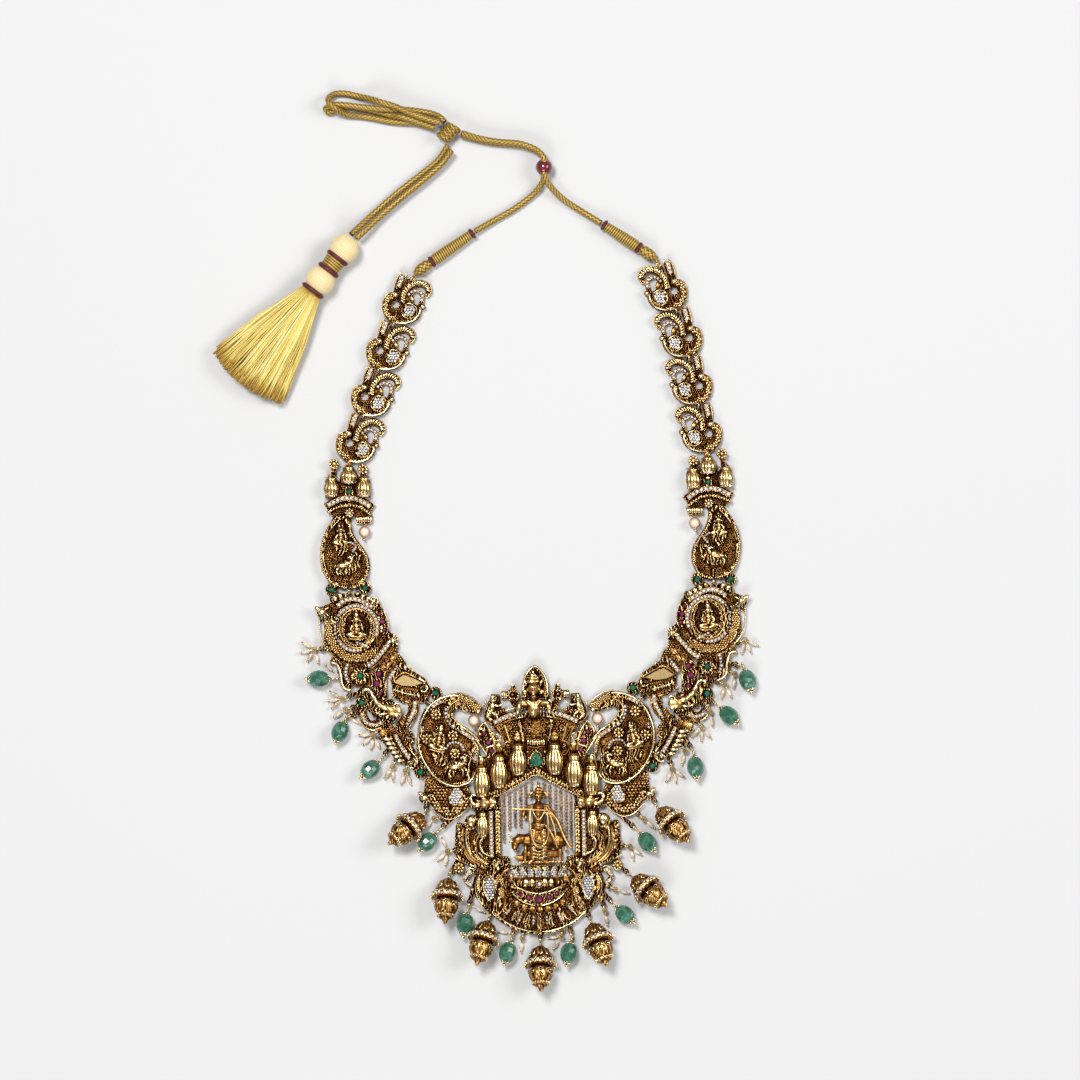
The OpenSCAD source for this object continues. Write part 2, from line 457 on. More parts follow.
module mango_relief() scale(mango_k) {
    difference() {
        polygon(ring_curve([[-7.1, 11.5], [-3, 14.1], [1.4, 15.3], [4.8, 14.9], [8.4, 12.6], [10.6, 10.9],
            [9.4, 9.4], [6.6, 9.5], [2.8, 10.6], [1.1, 8.6], [2, 6.1], [5.5, 3.9], [8.4, 1.8], [9.2, -1.4],
            [7.5, -4.6], [7.3, -8.4], [7.1, -12], [4.9, -14.4], [3.3, -15.2], [-0.5, -15.4], [-4.8, -12.7],
            [-8.6, -8.6], [-10.5, -3.9], [-10.6, 0.9], [-9.5, 7.1]]));
        polygon(ring_curve([[-6.2, 10.6], [-2.6, 12.9], [-0.6, 11.4], [-0.6, 8], [0.8, 5.2], [4, 3],
            [7, 0.8], [7.7, -1.6], [6.2, -4.8], [6, -8.6], [5.6, -12], [3.4, -13.9], [-0.4, -14.1],
            [-4, -11.8], [-7.5, -8], [-9.3, -3.6], [-9.4, 0.8], [-8.5, 6.2]]));
    }
    blossom([-4.3, 8.8], 1.9);
    blossom([-7, 0.5], 1.9);
    blossom([1.3, 1.7], 1.8);
    blossom([2, -4.4], 1.8);
    oval([-3.4, 0], 2, 4.4, 10);
    oval([-3.4, -6], 3, 2.2, -30);
    oval([2, -8.4], 3.4, 2, 12);
    ribbon([[4.4, -8], [6.2, -6.6], [5, -4.9]], 1.5, 1.1);
    ribbon([[-1, -10], [0, -12.6]], 1.2, 1);
    oval([2, -18.9], 2.3, 2.9, -15);
    oval([-8.6, -18.9], 1.4, 1.4);
    ribbon([[-6.6, -18.4], [-4, -22], [0, -23.8], [4, -22], [5.6, -18.6]], 2, 2);
}
// A rivet and a back strap of the pendant hold each big mango
strap_t = 0.6;
strap_w = 3;
rivet_r = 0.5;
STRAP_RIVETS = [[6.2, -9], [3.6, -9]];
strap_gap = 0.15;
module strap_slot(f, grow) in_frame(f) scale([mango_k, mango_k, 1])
    translate([1.6 - grow, -9 - strap_w / 2 - grow, -1]) cube([12, strap_w + 2 * grow, strap_t + 1 + grow]);
module rivet_holes(f, grow) in_frame(f) scale([mango_k, mango_k, 1]) for (p = STRAP_RIVETS)
    translate([p[0], p[1], strap_t / 2]) cylinder(r = rivet_r + grow, h = plate_t + grow - strap_t / 2, $fn = 24);
module big_mango(s) difference() {
    plaque(named("big_mango", s), mango_frame(s)) {
        mango_base();
        mango_relief();
        scale([mango_k, mango_k, 1]) {
            dome([-3.3, 4.1], 1.3, dome_h * 1.3);
            dome([-3.4, 0], 1.7);
            dome([2, -8.4], 1.8, dome_h * 1.2);
            dome([2, -18.9], 2);
            dome([-8.6, -18.9], 1.2);
        }
    }
    strap_slot(mango_frame(s), strap_gap);
    rivet_holes(mango_frame(s), strap_gap);
}

// Pendant frame; u runs from the middle line to the left, v up
LEAF_RUBIES = [[17.3, 31.6, 0.8], [15.9, 28.6, 1], [14.8, 25.7, 0.85]];
CRESCENT_RUBIES = [[0, -24, 1.35], [3.3, -23.3, 0.95], [6.1, -22.1, 0.8]];
pear_at = [0, 22.1];
module both_halves() {
    children();
    mirror([1, 0, 0]) children();
}
module pear(r, grow = 0) translate(pear_at) {
    circle(r + grow, $fn = 20);
    polygon([[-(r + grow) * 0.9, (r + grow) * 0.45], [(r + grow) * 0.9, (r + grow) * 0.45], [0, r * 1.55 + grow * 1.2]]);
}
module pendant_base() scale(pendant_k) {
    difference() {
        union() {
            both_halves() {
                // Crest arch, disc or shell, bar, side figure
                polygon([[0.1, 54.1], [-1.4, 53.4], [-3.3, 51], [-4.4, 47.8], [-4.5, 43], [-5.4, 39], [0.1, 39]]);
                oval([-7.4, 44.3], 2.1, 2.1);
                ribbon([[-7.4, 44], [-7.4, 47.6]], 2.6, 1);
                ribbon([[-7.4, 44.2], [-11.2, 44.2]], 2.2, 2.8);
                ribbon([[-8, 43], [-5.4, 39.6]], 2, 2.4);
                polygon([[-12, 44.4], [-14.6, 44.6], [-15.4, 42], [-16.4, 39.4], [-17.2, 36.6], [-14.6, 34.6],
                    [-10, 34.8], [-9.4, 38], [-11.4, 40]]);
                // Fan and its scrolls
                polygon([[0.1, 40], [-8.8, 38.4], [-14.6, 36.4], [-14.4, 33.4], [-11, 30], [-9.4, 26.6],
                    [0.1, 26.4]]);
                // Ruby leaf
                polygon(ring_curve([[-17.2, 34.4], [-15.4, 33.6], [-13.6, 29], [-13.4, 25.4], [-15, 23.2],
                    [-17, 26.4], [-19, 31.4]]));
                // Pots and roof
                polygon([[0.1, 29], [-2.8, 28], [-8.4, 30], [-10.4, 27], [-14.8, 28], [-16, 24], [-19.4, 23.4],
                    [-20.6, 19], [-20.4, 11.4], [-16, 9], [-12.1, 10.8], [0.1, 17.4]]);
                // Elephant and its trunk
                polygon([[-12.2, 11.6], [-12.6, 7], [-15, 5.4], [-20, 5.6], [-22.6, 7.4], [-23.2, 9.6],
                    [-22.4, 11.2], [-20, 10.4], [-16, 12]]);
                // Columns
                polygon([[-12.3, 8], [-12.3, -9], [-14, -11], [-17, -11], [-20.6, -2], [-20.6, 6]]);
                oval([-21.8, 2], 2.5, 2.5);
                // Feather swirl
                polygon(ring_curve([[-16.4, -1], [-20.5, -1.4], [-22.6, -0.2], [-24.4, 1.4], [-26.8, 2],
                    [-27.4, -2], [-27.6, -6], [-27, -9.6], [-22.3, -12.6], [-16.9, -12.8], [-14.6, -9]]));
                blossom([-26.4, -13], 2);
                oval([-26.4, -13], 1.3, 1.3);
                ribbon([[-26.4, -13], [-25, -10]], 2, 2.4);
                // Peacock with the pear leaf
                polygon(ring_curve([[-9, -10], [-13, -9.6], [-17, -11.4], [-20, -14], [-21.8, -18], [-21.4, -22],
                    [-19, -25.6], [-15.6, -28.4], [-11, -26], [-8.6, -20], [-8.6, -14]]));
                ribbon([[-19.6, -13.6], [-22.6, -14.4], [-24.4, -16.8], [-22.6, -19]], 1.6, 1.6);
                ribbon([[-14, -26], [-15.6, -27.6]], 2, 2);
                // Pedestal
                polygon([[0.1, -12.4], [-9.2, -12.4], [-9.2, -22], [0.1, -25]]);
                // Bottom fan
                polygon([[0.1, -22], [-9, -20], [-12, -24.5], [-15.6, -28], [-12.6, -31.4], [-6.8, -34.4],
                    [0.1, -36]]);
            }
        }
        // Open bay, and the gaps beside the fan and the peacocks
        polygon([[0, 17.2], [-12.2, 10.7], [-12.2, -7.6], [-9.6, -10], [-9, -12.6], [9, -12.6], [9.6, -10],
            [12.2, -7.6], [12.2, 10.7]]);
        both_halves() {
            oval([-12.2, 29], 0.7, 1.1);
            oval([-3.6, 21.4], 0.5, 0.9);
            oval([-21.6, -13.3], 0.7, 0.6);
            oval([-9.8, -15], 0.6, 1.3, -25);
            oval([-10.8, -25.4], 0.6, 1.2, 20);
            oval([-10.6, 40.6], 0.9, 0.7);
        }
    }
}
module pendant_relief() scale(pendant_k) {
    both_halves() {
        ribbon([[0, 53.3], [-1.5, 52.4], [-3, 50.2], [-3.8, 47], [-3.9, 43.4]], 1.1, 1.1);
        ribbon([[-2.6, 42.6], [-5, 41], [-5.2, 38.6]], 2, 2.4);
        difference() {
            oval([-7.4, 44.3], 2, 2);
            oval([-7.4, 44.3], 1.2, 1.2);
        }
        ribbon([[-9.6, 44.2], [-11, 44.2]], 1.8, 2.4);
        ribbon([[-14.6, 42], [-15.8, 38.6], [-14.4, 36]], 2, 2);
        ribbon([[-15, 39.6], [-12.6, 38.2], [-10.4, 39.8]], 1, 1);
        ribbon([[0, 38.4], [-3, 37.6], [-6, 37], [-9.4, 36.8], [-13.4, 35.2]], 1.5, 1.2);
        for (a = [8, 24, 38]) rotate(a) ribbon([[-0.2, 29], [-0.2, 36.6 - a / 20]], 0.6, 1.4);
        ribbon([[0, 28.6], [-2.8, 28]], 1.6, 1.2);
        ribbon([[-16.6, 33.8], [-14.4, 30], [-14, 25.6], [-15, 23.8]], 0.7, 0.7);
        ribbon([[-16.8, 34], [-18.4, 31], [-16.8, 27], [-15.2, 23.8]], 0.7, 0.7);
        ribbon([[0, 18.6], [-5, 16], [-11, 12.8], [-16.4, 10.4]], 2.2, 2.2);
        ribbon([[-13.4, 8.6], [-18, 8], [-21, 7.6], [-22.6, 9], [-21.8, 10.6]], 4, 1.2);
        ribbon([[-15.5, 5], [-15.5, -9.4]], 1.3, 1.3);
        ribbon([[-13.2, 6], [-13.2, -8]], 1.2, 1.2);
        difference() {
            oval([-21.8, 2], 2.4, 2.4);
            oval([-21.8, 2], 1.6, 1.6);
        }
        oval([-21.8, 2], 0.9, 1.3, 20);
        ribbon([[-17.4, -2.6], [-19, -4.6], [-18.4, -7.4], [-16.2, -8.8]], 0.8, 0.8);
        ribbon([[-18.2, -1.6], [-21, -3.6], [-21, -7.4], [-17, -10.2]], 1, 1);
        ribbon([[-23.4, 0.4], [-23.6, -4.4], [-21.6, -8.8], [-16.4, -11.6]], 1.2, 1.2);
        for (i = [0 : 3]) oval([-26.2 + i * 0.2, 0.4 - 2.6 * i], 1, 1);
        ribbon([[-27, -9], [-22.3, -12], [-16.9, -12.2]], 0.9, 0.9);
        blossom([-26.4, -13], 1.9);
        ribbon([[-10.4, -12.4], [-13.4, -10.8], [-15.2, -12.6], [-13, -17], [-10.4, -19.4]], 1.6, 2);
        ribbon([[-16.6, -14.6], [-18.6, -18], [-18.2, -22], [-16.6, -24.4]], 1, 1);
        ribbon([[-16.2, -14.6], [-14.2, -18], [-14.8, -21.6], [-16.4, -24.4]], 1, 1);
        ribbon([[-19, -15.6], [-20.6, -19], [-19.6, -23.4], [-17.6, -26]], 1.4, 1.2);
        ribbon([[-12.4, -20], [-12.8, -24], [-14.6, -27.4]], 2, 1.4);
        ribbon([[-19.8, -13.8], [-22.6, -14.6], [-24.2, -16.8], [-22.8, -18.6]], 0.9, 0.9);
        for (i = [0 : 2]) oval([-1.8 - 2.8 * i, -14.6], 1.1, 1.5);
        for (i = [0 : 2]) oval([-2.6 - 2.4 * i, -18.6], 0.9, 1.1);
        ribbon([[0, -22.2], [-3.4, -21.6], [-6.4, -20.4], [-9, -19.4]], 0.7, 0.7);
        ribbon([[0, -25.9], [-3.8, -25], [-7, -23.2], [-9, -20.6]], 0.7, 0.7);
        for (a = [0, 13, 27, 40]) translate([0, -14]) rotate(-a) ribbon([[0, -14.4], [0, -20.6 + a / 16]], 1.3, 2.2);
        ribbon([[0, -35.4], [-6.8, -33.8], [-12.4, -30.8], [-15, -28]], 0.9, 0.9);
    }
    polygon([[-3.4, 43], [3.4, 43], [4.6, 39.4], [0, 38.4], [-4.6, 39.4]]);
    difference() {
        pear(2.1, 0.7);
        pear(2.1, fit);
    }
    for (m = [-1, 1]) for (r = LEAF_RUBIES) bezel([m * r[0], r[1]], r[2]);
    for (r = CRESCENT_RUBIES) for (m = [-1, 1]) bezel([m * r[0], r[1]], r[2]);
    oval([0, -18.8], 1.6, 1.5);
}
module pendant_stone_room() scale(pendant_k) {
    for (m = [-1, 1]) for (r = concat(LEAF_RUBIES, CRESCENT_RUBIES)) oval([m * r[0], r[1]], r[2] + fit, r[2] + fit);
    pear(2.1, fit);
}
POTS = [[6.1, 22.6, 9], [12.5, 18.6, 9.6], [18.3, 15.4, 9]];
module pendant_frame() {
    plaque("pendant_frame", pendant_at) {
        pendant_base();
        difference() {
            pendant_relief();
            pendant_stone_room();
        }
        scale([pendant_k, pendant_k, 1]) {
            dome([0, 46.4], 1.8, dome_h * 1.5);
            dome([0, 49.6], 1.6, dome_h * 1.2);
            dome([0, 41], 2.6);
            for (m = [-1, 1]) {
                for (p = POTS) lying_pot([m * p[0], p[1]], pot_r, p[2]);
                lying_pot([m * 18.3, 1.6], 1.6, 8);
                dome([m * 3.4, 44.4], 1);
                dome([m * 13.4, 43], 1.3);
                dome([m * 17.6, 8.2], 1.9, dome_h * 1.2);
                dome([m * 13.6, -11.4], 1.2);
            }
        }
        pendant_stone_room();
    }
    color(gold) for (s = [1, -1]) {
        f = mango_frame(s);
        difference() {
            strap_slot(f, 0);
            translate([-200, -200, -2]) cube([400, 400, 2]);
        }
        rivet_holes(f, 0);
    }
}

// Standing flute player with the cow behind, in the open bay
module limb(a, b, ra, rb) hull() {
    translate(a) sphere(ra, $fn = 6);
    translate(b) sphere(rb, $fn = 6);
}
figure_z = 2.3;
module standing_figure() color(gold) in_frame(pendant_at) scale([pendant_k, pendant_k, 1])
    translate([0.5, 0, figure_z]) {
    limb([0, 9, 1.2], [0, 9.4, 1], 1.3, 1.2);
    limb([0, 10.4, 0.9], [0, 11.7, 0.6], 1.3, 0.7);
    limb([0, 7.8, 0.4], [0, 5.6, 0.4], 0.8, 1.9);
    limb([0, 5.4, 0.4], [-0.2, 0, 0.2], 2, 1.5);
    limb([-0.2, -0.6, 0.2], [-1.1, -9.6, 0], 1.7, 0.9);
    limb([0, -0.6, 0.2], [1.3, -9.6, 0], 1.7, 0.9);
    limb([-1.1, -9.8, 0], [-1.9, -11.2, 0], 0.8, 0.7);
    limb([1.3, -9.8, 0], [1.9, -11.2, 0], 0.8, 0.7);
    limb([-1.8, 5.6, 0.3], [-3.6, 3, 0.8], 0.8, 0.6);
    limb([-3.6, 3, 0.8], [-4.2, 5.6, 1.4], 0.6, 0.5);
    limb([1.8, 5.6, 0.3], [3.4, 3, 0.8], 0.8, 0.6);
    limb([3.4, 3, 0.8], [0.6, 5.2, 1.6], 0.6, 0.5);
    limb([-7.6, 6, 1.8], [3, 5.2, 1.8], 0.35, 0.35);
    limb([1.8, 4, 0.2], [5, -6.2, -0.2], 0.8, 1);
    limb([-5, -4.4, -0.6], [6, -3.6, -0.8], 1.5, 1.5);
    limb([-6, -3.4, 0], [-8.2, -5, 0.4], 1.2, 1.3);
    limb([-8.2, -5, 0.4], [-7.4, -7.6, 0.4], 1.1, 0.8);
    limb([-8.8, -4.4, 0.2], [-10.2, -2.4, 0.2], 0.5, 0.35);
    limb([-4.4, -5, -0.8], [-4.8, -11.2, -0.8], 1, 0.7);
    limb([6.8, -4.4, -0.8], [7, -11.2, -0.8], 1.2, 0.7);
    limb([7.8, -3, -0.8], [8.8, -7, -0.8], 0.5, 0.4);
    limb([-7, -11.4, -0.9], [7.6, -11.4, -0.9], 0.8, 0.8);
}

// Strings of seed beads behind the figure: [place across the bay, lower end]
STRINGS = [[-11.2, -5], [-9.3, -1], [-7.5, 0], [-5.6, 0], [-3.8, 2], [-1.8, 9.6], [0.4, 14.4], [2.4, 9.6],
    [4.2, 0], [6.1, -1], [7.8, -1], [9.5, -4.6], [11.1, -7.4]];
string_z = 0.7;
module curtain_strings() color("tan") in_frame(pendant_at) scale([pendant_k, pendant_k, 1])
    for (p = STRINGS) {
        top = 17.2 - abs(p[0]) * 6.5 / 12.2 - string_d / 3 - fit;
        translate([p[0], top, string_z]) rotate([90, 0, 0]) cylinder(d = string_d, h = top - p[1], $fn = 24);
    }

// A piece hung on the ring at c that points along d: its local X runs along the drop, in direction a
module hang(c, d, a, tilt) translate([c[0] + ring_r * cos(tilt) * cos(d), c[1] + ring_r * cos(tilt) * sin(d),
    eye_z + ring_r * sin(tilt)]) rotate([0, 0, a]) rotate([0, -tilt, 0]) translate([-ring_r, 0, 0]) children();
module drop_eye(l) difference() {
    translate([0, 0, -eye_t / 2]) linear_extrude(eye_t) union() {
        translate([ring_r, 0]) circle(eye_r, $fn = 24);
        translate([ring_r, -eye_r * 0.7]) square([l, eye_r * 1.4]);
    }
    translate([ring_r, 0, -eye_t]) cylinder(r = eye_hole, h = 2 * eye_t, $fn = 24);
}
module lantern_drop(i) color(gold) {
    d = LANTERNS[i - 1];
    r = lantern_rim_r;
    b = lantern_ball_r;
    s = lantern_rim_at;
    c = s + 0.8 * b;
    hang(d[0], d[1], d[3], lantern_tilt) {
        drop_eye(1.8);
        rotate([0, 90, 0]) rotate_extrude($fn = 32) polygon([
            [0, s * 0.27], [r * 0.24, s * 0.28], [r * 0.36, s * 0.36], [r * 0.52, s * 0.4],
            [r * 0.56, s * 0.52], [r * 0.68, s * 0.66], [r * 0.8, s * 0.82], [r, s - 0.5],
            [r, s + 0.4], [b * 0.82, s + 0.6], [b * 0.98, c - b * 0.25], [b, c], [b * 0.9, c + b * 0.45],
            [b * 0.66, c + b * 0.74], [b * 0.72, c + b * 0.86], [b * 0.6, c + b],
            [b * 0.3, c + b * 1.06], [b * 0.12, c + b * 1.6], [0, c + b * 1.62]]);
    }
}
module green_bead(i) {
    g = GREENS[i - 1];
    hole = pin_d / 2 + fit;
    hang(bead_ring(g), g[1], g[3], bead_tilt) {
        color("mediumseagreen") translate([bead_at, 0, 0]) rotate([0, 90, 0]) rotate_extrude($fn = 32)
            polygon(concat([[hole, -bead_a * 0.96]], [for (k = [-4 : 4])
                [bead_b * cos(k * 19), bead_a * sin(k * 19)]], [[hole, bead_a * 0.96]]));
        color(gold) {
            drop_eye(eye_r + 0.2);
            translate([ring_r + eye_r - 0.1, 0, 0]) rotate([0, 90, 0])
                cylinder(d = pin_d, h = bead_at + bead_a + 0.6 - ring_r - eye_r, $fn = 24);
            translate([bead_at + bead_a + 0.7, 0, 0]) sphere(0.65, $fn = 24);
        }
    }
}

// Rice pearls on headpins that radiate from the hub of each spray
rice_at = eye_r + 0.55 + rice_l / 2;
rice_z = rice_d / 2 + floor_gap + 0.35;
module rice_pearl(h, a) translate([h[0][0], h[0][1], rice_z]) rotate([0, 0, a]) translate([rice_at, 0, 0])
    rotate([0, 90, 0]) rotate_extrude($fn = 24) polygon([
        [rice_pin_d / 2 + fit, -rice_l * 0.47], [rice_d * 0.36, -rice_l * 0.4], [rice_d / 2, -rice_l * 0.12],
        [rice_d / 2, rice_l * 0.12], [rice_d * 0.36, rice_l * 0.4], [rice_pin_d / 2 + fit, rice_l * 0.47]]);
module rice_pearls(from, to) color("ivory") for (k = [from : to]) for (a = SPRAYS[k][3])
    rice_pearl(SPRAYS[k], a);
module pearl_pins() color(gold) for (h = SPRAYS) {
    translate([h[0][0], h[0][1], 0]) difference() {
        translate([0, 0, eye_z - eye_t / 2]) cylinder(r = eye_r, h = eye_t, $fn = 24);
        translate([0, 0, -1]) cylinder(r = eye_hole, h = 5, $fn = 24);
    }
    for (a = h[3]) translate([h[0][0], h[0][1], rice_z]) rotate([0, 0, a]) rotate([0, 90, 0]) {
        translate([0, 0, eye_hole + 0.15])
            cylinder(d = rice_pin_d, h = rice_at + rice_l / 2 - eye_hole + 0.1, $fn = 24);
        translate([0, 0, rice_at + rice_l / 2 + 0.3]) sphere(0.42, $fn = 24);
    }
}

// Round pearls at the beaks, on a pin of their own that stands in the beak's edge
BEAK = [for (s = [1, -1]) each [[mango_frame(s), [8.2, 6.6] * mango_k, 90, mango_k],
    [tower_frame(s), [6.2, -0.6] * tower_k, 85, tower_k]]];
beak_z = pearl_r + floor_gap;
module on_beak(b) in_frame(b[0]) translate([b[1][0], b[1][1], beak_z]) rotate([0, 0, b[2]])
    rotate([0, 90, 0]) children();
module beak_pearls() color("seashell") for (b = BEAK) on_beak(b) rotate_extrude($fn = 32)
    polygon(concat([[0.3 + fit, -pearl_r * 0.97]],
        [for (k = [-4 : 4]) [pearl_r * cos(k * 19), pearl_r * sin(k * 19)]], [[0.3 + fit, pearl_r * 0.97]]));
module beak_pins() color(gold) for (b = BEAK) on_beak(b) {
    translate([0, 0, -pearl_r - 0.5]) cylinder(r = 0.3, h = 2 * pearl_r + 0.75, $fn = 24);
    translate([0, 0, -pearl_r - 0.6]) sphere(0.5, $fn = 24);
}

// A cut stone: table, crown facets, girdle and pavilion, n sided
module cut_stone(p, r, h = stone_h, n = 10) {
    z = [0.1, h * 0.35, h * 0.5, h];
    k = [0.55, 1, 1, 0.6];
    translate([p[0], p[1], plate_t]) polyhedron(
        points = [for (j = [0 : 3]) for (i = [0 : n - 1])
            [r * k[j] * cos(360 * i / n), r * k[j] * sin(360 * i / n), z[j]]],
        faces = concat([[for (i = [0 : n - 1]) i]], [[for (i = [n - 1 : -1 : 0]) 3 * n + i]],
            [for (j = [0 : 2]) for (i = [0 : n - 1])
                [j * n + i, (j + 1) * n + i, (j + 1) * n + (i + 1) % n, j * n + (i + 1) % n]]));
}
module stones(f, list, k, mirrored = false) in_frame(f) for (g = list) {
    cut_stone([g[0], g[1]] * k, g[2] * k);
    if (mirrored && g[0] != 0) cut_stone([-g[0], g[1]] * k, g[2] * k);
}
module rubies() color("mediumvioletred") {
    for (s = [1, -1]) stones(shoulder_frame(s), SHOULDER_RUBIES, shoulder_k);
    stones(pendant_at, concat(LEAF_RUBIES, CRESCENT_RUBIES), pendant_k, true);
}
module pear_stone(r, h = stone_h) {
    outline = concat([for (a = [150 : 30 : 390]) r * dir(a)], [[0, r * 1.55]]);
    n = len(outline);
    z = [0.1, h * 0.35, h * 0.5, h];
    k = [0.55, 1, 1, 0.6];
    translate([pear_at[0] * pendant_k, pear_at[1] * pendant_k, plate_t]) polyhedron(
        points = [for (j = [0 : 3]) for (p = outline) [p[0] * k[j], p[1] * k[j], z[j]]],
        faces = concat([[for (i = [0 : n - 1]) i]], [[for (i = [n - 1 : -1 : 0]) 3 * n + i]],
            [for (j = [0 : 2]) for (i = [0 : n - 1])
                [j * n + i, (j + 1) * n + i, (j + 1) * n + (i + 1) % n, j * n + (i + 1) % n]]));
}
module emeralds() color("seagreen") {
    for (s = [1, -1]) {
        stones(tower_frame(s), TOWER_GREENS, tower_k);
        stones(shoulder_frame(s), SHOULDER_GREENS, shoulder_k);
    }
    in_frame(pendant_at) pear_stone(2.1 * pendant_k);
}

module jump_rings() color(gold) for (r = RINGS) translate([r[0][0], r[0][1], eye_z]) rotate([0, 0, r[1]])
    rotate([90, 0, 0]) rotate_extrude($fn = 32) translate([ring_r, 0]) circle(d = ring_wire, $fn = 24);

// Cord routes, chosen by hand, in the order in which the cord runs
CORD_LEFT = [[-18.3, 130.8, 2.2], [-11.7, 134.6, 1.3], [-5.7, 138, 1.2], [0.3, 142.4, 1.3], [3.5, 146, 2.2],
    [4.7, 149, 2.8], [4.7, 152, 2.8], [4.7, 155, 2.8], [3.4, 156.6, 2.2], [0.9, 158.2, 1.5], [-3.7, 159.6, 1.2],
    [-10.7, 160.1, 1.2], [-17.1, 161.2, 1.3], [-22.9, 162.9, 2.2]];
CORD_RIGHT = [[23.6, 133.6, 2.2], [16.7, 137.8, 1.3], [10.7, 141.8, 1.7], [6.5, 146, 4], [4.9, 149, 5],
    [4.7, 152, 5], [4.6, 155, 5], [3.2, 156.9, 4.5], [0.8, 158.5, 3.8], [-3.9, 160, 3.4], [-10.9, 160.6, 3.4],
    [-17.5, 161.8, 3.5], [-22.7, 163.4, 4.4]];
BOW_1 = [[-30, 166.9, 4.9], [-32.4, 167.4, 4.9], [-34.9, 168.2, 4.8], [-39.7, 169.9, 4.6], [-44.5, 172, 5.2],
    [-49.6, 173.6, 5.2], [-53.4, 174.9, 3.2], [-57.2, 175.8, 1.4], [-60.4, 176.6, 1.2], [-63, 176.8, 1.2],
    [-65.2, 176.5, 1.6], [-67, 175, 3.4], [-66.7, 173.3, 5.2], [-64.9, 171.6, 5.4], [-62.8, 170.4, 3.5],
    [-60.7, 169.6, 2], [-56.6, 169.2, 1.2], [-52.1, 168.5, 1.2], [-47.7, 167.6, 1.2], [-42.9, 167, 1.2],
    [-38.7, 166.9, 1.2], [-34.9, 166, 1.2], [-32, 165, 1.2]];
BOW_2 = [[-28.5, 167.1, 3.3], [-30.1, 168.9, 2.6], [-33.3, 170.2, 1.4], [-38.1, 171, 1.2], [-41.9, 171.3, 1.9],
    [-46, 171.3, 3.2], [-50.9, 171.5, 3.5], [-55.7, 172, 3.5], [-60.4, 172.6, 3.4], [-63.6, 172.9, 3],
    [-66.3, 172.6, 2.6], [-68, 171.6, 1.8], [-66.8, 170.4, 1.2], [-64, 171.3, 1.2], [-60, 172.2, 1.2],
    [-55.5, 171.6, 1.2], [-50.5, 170.6, 1.2], [-46.5, 169.5, 1.5], [-42.9, 168.8, 3], [-39, 167.7, 3.3],
    [-35, 166.3, 3.3], [-31.8, 165.2, 3.3]];
TASSEL_1 = [[-27.3, 159.4, 2.1], [-30.7, 154.4, 1.3], [-36.5, 149.6, 1.2], [-43.7, 144, 1.2], [-51.3, 137.4, 1.2],
    [-56.5, 132.6, 2.8], [-59.5, 129.7, 4.4]];
TASSEL_2 = [[-26.1, 157.6, 4.2], [-29.3, 153.2, 3.4], [-35.1, 148, 3.2], [-42.3, 142.2, 3.2],
    [-49.7, 135.8, 3.2], [-54.7, 131, 4.6], [-57.7, 128.3, 5.1]];

// Tube with a ring at each point of its route
module cord_tube(p, d = cord_d) {
    n = len(p);
    m = 8;
    frames = [for (i = [0 : n - 1]) let (t = p[min(i + 1, n - 1)] - p[max(i - 1, 0)], u = t / norm(t),
        side = cross([0, 0, 1], u), a = side / norm(side), b = cross(u, a)) [a, b]];
    polyhedron(
        points = [for (i = [0 : n - 1]) for (j = [0 : m - 1])
            p[i] + (cos(360 * j / m) * frames[i][0] + sin(360 * j / m) * frames[i][1]) * d / 2],
        faces = concat([[for (j = [0 : m - 1]) j]], [[for (j = [m - 1 : -1 : 0]) (n - 1) * m + j]],
            [for (i = [0 : n - 2]) for (j = [0 : m - 1])
                [i * m + j, (i + 1) * m + j, (i + 1) * m + (j + 1) % m, i * m + (j + 1) % m]]));
}
cord_colour = "darkgoldenrod";
slider_at = [4.7, 152, 3.9];
// The bead holds both cords in one upright slot
module slider_bead() color("maroon") translate(slider_at) difference() {
    sphere(slider_r, $fn = 32);
    for (m = [-1, 1]) translate([0, 0, 1.1 * m]) rotate([90, 0, 0])
        cylinder(d = cord_d + 2 * fit, h = 8, center = true, $fn = 24);
    translate([-cord_d / 2 - fit, -4, -1.1]) cube([cord_d + 2 * fit, 8, 2.2]);
}
// Bound cord ends: a plaited eye, then the gold thread wrap; X runs from the ring along the end
wrap_z = 2.25;
function wrap_turn(s) = s > 0 ? 35 : 147;
function wrap_length(s) = s > 0 ? 23.4 : 20.8;
function wrap_start(s) = let (j = turns(s)[6][0])
    out(link_frame(s, 1), peacock_top) + (2 * ring_r + eye_r + 0.4) * dir(j);
module on_wrap(s, x) translate([wrap_start(s)[0], wrap_start(s)[1], wrap_z]) rotate([0, 0, wrap_turn(s)])
    translate([x, 0, 0]) rotate([0, 90, 0]) children();
module wrap(s) color(cord_colour) {
    j = turns(s)[6][0];
    l = wrap_length(s);
    c = out(link_frame(s, 1), peacock_top) + ring_r * dir(j);
    translate([c[0], c[1], eye_z]) rotate([0, 0, j]) drop_eye(1.8);
    on_wrap(s, 0) rotate_extrude($fn = 24) polygon([[0, -0.9], [1, -0.9], [1.9, 1.6], [1.9, 5.4],
        [1.1, 5.7], [1.1, 7.1], [2, 7.5], [2, 12], [1.6, l - 1.6], [0.9, l - 1.4], [0.9, l], [0, l]]);
}
module band(r, w, x) translate([0, 0, x]) rotate_extrude($fn = 24) translate([r + w + 0.15, 0])
    circle(w, $fn = 16);
module thread_bands() color("maroon") for (s = [1, -1]) on_wrap(s, 0) {
    band(1.1, 0.42, 6.4);
    band(0.9, 0.36, wrap_length(s) - 0.7);
}
knot_at = [-27.1, 163.6, 3];
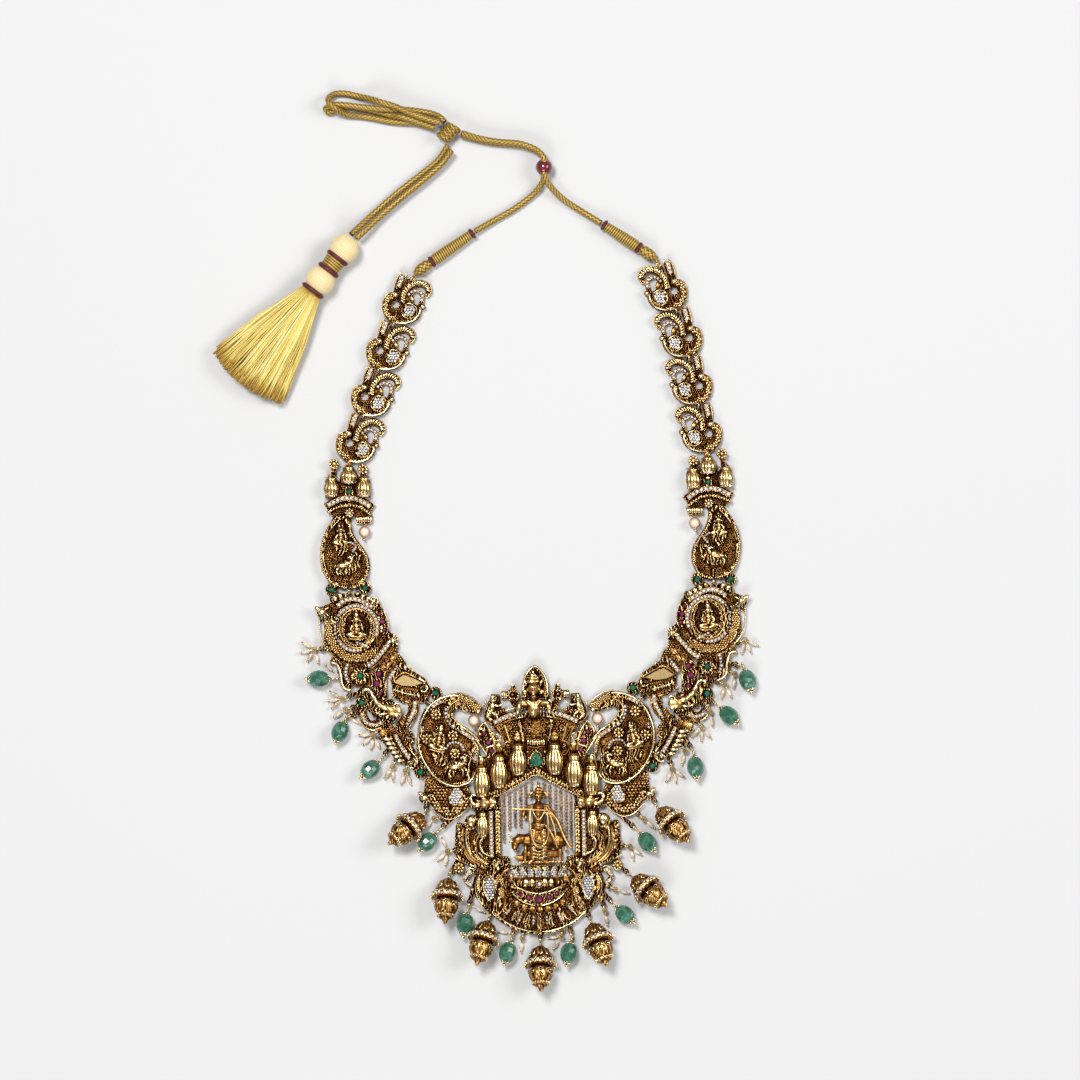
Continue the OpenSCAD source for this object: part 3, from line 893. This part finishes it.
module bow_knot() color(cord_colour) translate(knot_at) rotate([0, 0, 45]) union() {
    for (k = [-1.5 : 1 : 1.5]) translate([k * 1.5, 0, 0]) rotate([0, 0, 14]) rotate([0, 90, 0])
        rotate_extrude($fn = 24) translate([1.75, 0]) circle(d = 2, $fn = 24);
    rotate([0, 90, 0]) cylinder(r = 1.7, h = 4, center = true, $fn = 24);
}
// Tassel: two thread balls with a wound neck between them, then the skirt, along one axis
tassel_start = [-58.9, 128.6];
tassel_dir = 233;
module on_tassel(s) translate([tassel_start[0], tassel_start[1], tassel_ball_r + floor_gap])
    rotate([0, 0, tassel_dir]) translate([s, 0, 0]) rotate([0, 90, 0]) children();
ball_1 = tassel_ball_r * 0.96;
ball_2 = ball_1 + 13.2;
skirt_from = ball_2 + tassel_ball_r * 0.9;
module tassel_head() color("khaki") on_tassel(0) rotate_extrude($fn = 32) {
    r = tassel_ball_r;
    polygon([[0, 0], [r * 0.6, ball_1 - r * 0.8], [r * 0.92, ball_1 - r * 0.4], [r, ball_1],
        [r * 0.92, ball_1 + r * 0.4], [r * 0.66, ball_1 + r * 0.75], [3.4, ball_1 + 4],
        [3.4, ball_2 - 4], [r * 0.66, ball_2 - r * 0.75], [r * 0.92, ball_2 - r * 0.4], [r, ball_2],
        [r * 0.92, ball_2 + r * 0.4], [r * 0.62, ball_2 + r * 0.78], [0, ball_2 + r * 0.8]]);
}
// The skirt flattens towards its cut end; LOCKS locks, each a flat tapering hull round the head's end
LOCKS = 7;
module tassel_skirt() color("khaki") translate([tassel_start[0], tassel_start[1], 0])
    rotate([0, 0, tassel_dir]) for (i = [0 : LOCKS - 1]) {
        t = (i + 0.5) / LOCKS - 0.5;
        hull() {
            translate([skirt_from, t * 7, tassel_ball_r + floor_gap]) rotate([0, 90, 0])
                cylinder(r = 2.6, h = 1, $fn = 10);
            translate([skirt_from + skirt_l * 0.55, t * skirt_w * 0.62, skirt_t * 0.62])
                rotate([0, 90, t * 18]) cylinder(r = skirt_t * 0.46, h = 1, $fn = 10);
            translate([skirt_from + skirt_l - 6 * abs(t) - 1, t * (skirt_w - skirt_t), skirt_t / 2 + floor_gap])
                rotate([0, 90, t * 30]) cylinder(r = skirt_t / 2, h = 1, $fn = 10);
        }
    }

for (s = [1, -1]) {
    for (i = [1 : 4]) peacock_link(s, i);
    tower_mango(s);
    shoulder_plaque(s);
    big_mango(s);
    wrap(s);
}
pendant_frame();
standing_figure();
curtain_strings();
for (i = [1 : 7]) lantern_drop(i);
for (i = [1 : 12]) green_bead(i);
rice_pearls(0, 8);  // rice_pearls_left
rice_pearls(9, 20);  // rice_pearls_right
pearl_pins();
beak_pearls();
beak_pins();
rubies();
emeralds();
jump_rings();
color(cord_colour) cord_tube(CORD_LEFT);  // cord_left
color(cord_colour) cord_tube(CORD_RIGHT);  // cord_right
color(cord_colour) cord_tube(BOW_1);  // bow_loop_1
color(cord_colour) cord_tube(BOW_2);  // bow_loop_2
color(cord_colour) cord_tube(TASSEL_1);  // tassel_cord_1
color(cord_colour) cord_tube(TASSEL_2);  // tassel_cord_2
slider_bead();
thread_bands();
bow_knot();
tassel_head();
tassel_skirt();
